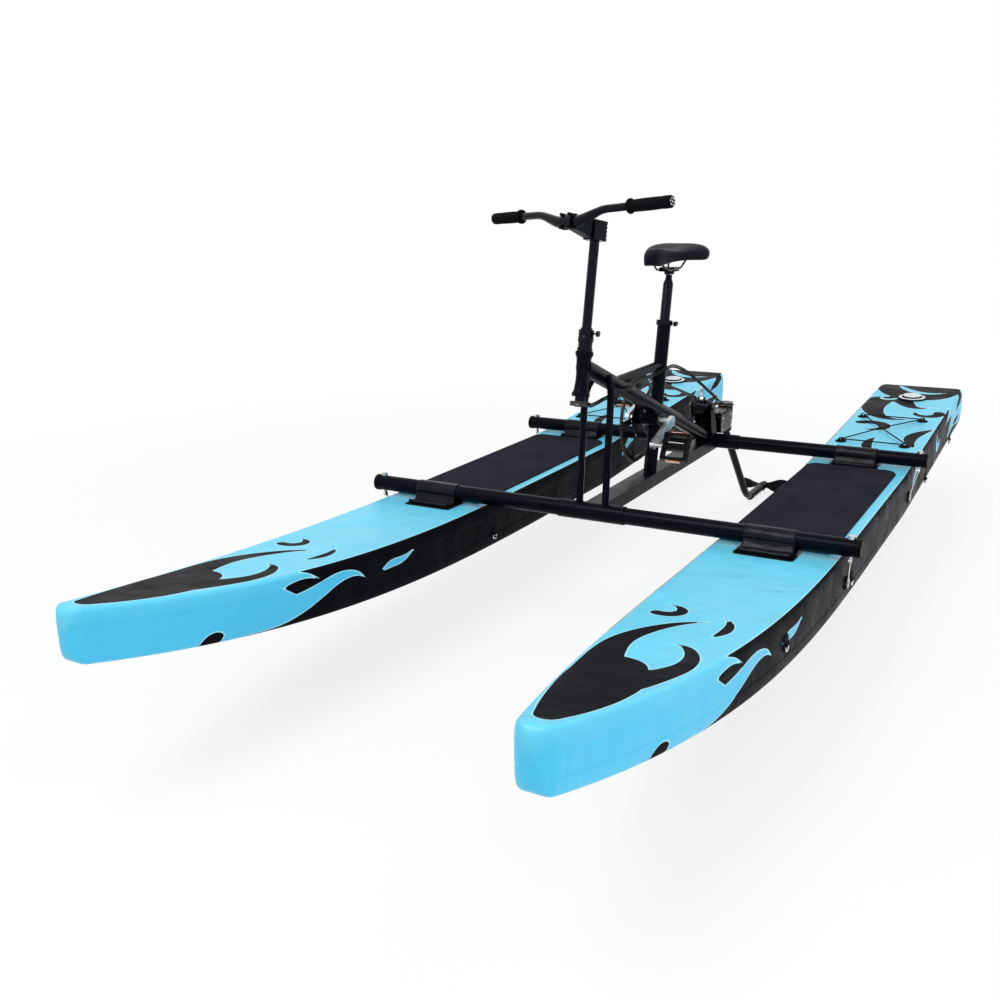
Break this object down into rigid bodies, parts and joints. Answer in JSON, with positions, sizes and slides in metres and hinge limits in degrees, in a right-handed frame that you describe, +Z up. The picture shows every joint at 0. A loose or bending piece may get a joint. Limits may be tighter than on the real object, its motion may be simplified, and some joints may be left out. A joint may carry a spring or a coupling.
{
  "type": "pontoon water bike",
  "caption": "Pedal water bike: a bicycle frame on inflatable pontoons, with a chain-driven raked propeller leg steered from the handlebar by cable.",
  "frame": {"origin": "between the pontoons, midway between the cross bars, in the plane of the pontoons' flat undersides", "axes": "+Y towards the stern, +Z up, +X towards the rider's left"},
  "size_m": [1.6, 3.95, 1.332],
  "materials": {
    "black_paint": "gloss black powder coat",
    "black_alloy": "satin black anodised",
    "silver_alloy": "polished",
    "bright_steel": "polished",
    "dark_steel": "dark",
    "pontoon_skin": "coated fabric, semi-gloss blue and black",
    "pad_foam": "matte grooved foam",
    "black_rubber": "matte",
    "black_vinyl": "glossy",
    "saddle_vinyl": "satin vinyl over foam",
    "black_plastic": "matte moulded",
    "cable_cover": "satin cable cover"
  },
  "bodies": {
    "frame": {"head_tube": "black_paint", "headset_bearing_lower": "bright_steel", "headset_bearing_upper": "bright_steel", "seat_clamp_collar": "black_alloy", "front_sleeve": "black_paint", "rear_sleeve": "black_paint", "spine_beam": "black_paint", "main_tube": "black_paint", "seat_tube": "black_paint", "strut_left": "black_paint", "strut_right": "black_paint", "chain": "dark_steel", "drive_bracket": "black_paint", "drive_housing": "black_alloy", "steering_cable": "cable_cover", "pontoon_left": "pontoon_skin", "deck_pad_left": "pad_foam", "valve_left": "black_plastic", "bungee_left": "black_rubber", "front_left_tube": "black_paint", "front_left_clamp": "black_vinyl", "front_left_tie_down": "bright_steel", "rear_left_tube": "black_paint", "rear_left_clamp": "black_vinyl", "rear_left_tie_down": "bright_steel", "pontoon_right": "pontoon_skin", "deck_pad_right": "pad_foam", "valve_right": "black_plastic", "bungee_right": "black_rubber", "front_right_tube": "black_paint", "front_right_clamp": "black_vinyl", "front_right_tie_down": "bright_steel", "rear_right_tube": "black_paint", "rear_right_clamp": "black_vinyl", "rear_right_tie_down": "bright_steel"},
    "steering": {"steerer": "black_alloy", "front_cable_drum": "dark_steel", "post_clamp_collar": "black_alloy"},
    "handlepost_group": {"handlepost": "black_alloy", "stem": "black_alloy", "faceplate": "black_alloy", "handlebar": "black_alloy", "grip_left": "black_rubber", "grip_right": "black_rubber"},
    "post_lever": {"post_clamp_lever": "silver_alloy"},
    "seat": {"seatpost": "black_alloy", "saddle": "saddle_vinyl", "saddle_rails": "dark_steel", "saddle_clamp": "black_alloy"},
    "seat_lever": {"seat_clamp_lever": "silver_alloy"},
    "cranks": {"crank_left": "silver_alloy", "crank_right": "silver_alloy", "chainring": "black_alloy"},
    "pedal_left_body": {"pedal_left": "black_plastic"},
    "pedal_right_body": {"pedal_right": "black_plastic"},
    "input_shaft": {"sprocket": "dark_steel"},
    "leg": {"drive_leg": "black_paint", "rear_cable_drum": "dark_steel"},
    "screw": {"propeller": "black_plastic"},
    "release": {"release_lever": "bright_steel"}
  },
  "joints": [
    {"name": "steering_turn", "type": "hinge", "parent": "frame", "child": "steering", "pos_m": [0, -0.646, 0.56], "axis": [0, 0.1961, 0.9806], "range_deg": [-35, 35]},
    {"name": "handlepost_slide", "type": "slide", "parent": "steering", "child": "handlepost_group", "axis": [0, 0.1961, 0.9806], "range_m": [-0.1, 0.06]},
    {"name": "post_lever_turn", "type": "hinge", "parent": "steering", "child": "post_lever", "pos_m": [0.02355, -0.58142, 0.73503], "axis": [0, 0.1961, 0.9806], "range_deg": [0, 120]},
    {"name": "seatpost_slide", "type": "slide", "parent": "frame", "child": "seat", "axis": [0, 0.1961, 0.9806], "range_m": [-0.12, 0.05]},
    {"name": "seat_lever_turn", "type": "hinge", "parent": "frame", "child": "seat_lever", "pos_m": [0.02605, 0.04403, 0.69776], "axis": [0, 0.1961, 0.9806], "range_deg": [0, 120]},
    {"name": "crank_spin", "type": "hinge", "parent": "frame", "child": "cranks", "pos_m": [0, -0.1, 0.394], "axis": [1, 0, 0], "continuous": true},
    {"name": "pedal_left_spin", "type": "hinge", "parent": "cranks", "child": "pedal_left_body", "pos_m": [0.155, -0.26257, 0.3443], "axis": [1, 0, 0], "continuous": true},
    {"name": "pedal_right_spin", "type": "hinge", "parent": "cranks", "child": "pedal_right_body", "pos_m": [-0.155, 0.06257, 0.4437], "axis": [1, 0, 0], "continuous": true},
    {"name": "input_shaft_spin", "type": "hinge", "parent": "frame", "child": "input_shaft", "pos_m": [0, 0.45166, 0.33928], "axis": [1, 0, 0], "continuous": true},
    {"name": "leg_swivel", "type": "hinge", "parent": "frame", "child": "leg", "pos_m": [0, 0.715, 0.3], "axis": [0, 0, 1], "range_deg": [-35, 35]},
    {"name": "propeller_spin", "type": "hinge", "parent": "leg", "child": "screw", "pos_m": [0, 1.3431, -0.182], "axis": [0, 1, 0], "continuous": true},
    {"name": "release_lever_turn", "type": "hinge", "parent": "frame", "child": "release", "pos_m": [0, 0.42466, 0.37628], "axis": [1, 0, 0], "range_deg": [0, 90]}
  ],
  "couplings": [
    {"joint": "input_shaft_spin", "follows": "crank_spin", "ratio": 4},
    {"joint": "propeller_spin", "follows": "crank_spin", "ratio": 8},
    {"joint": "leg_swivel", "follows": "steering_turn", "ratio": -1}
  ]
}
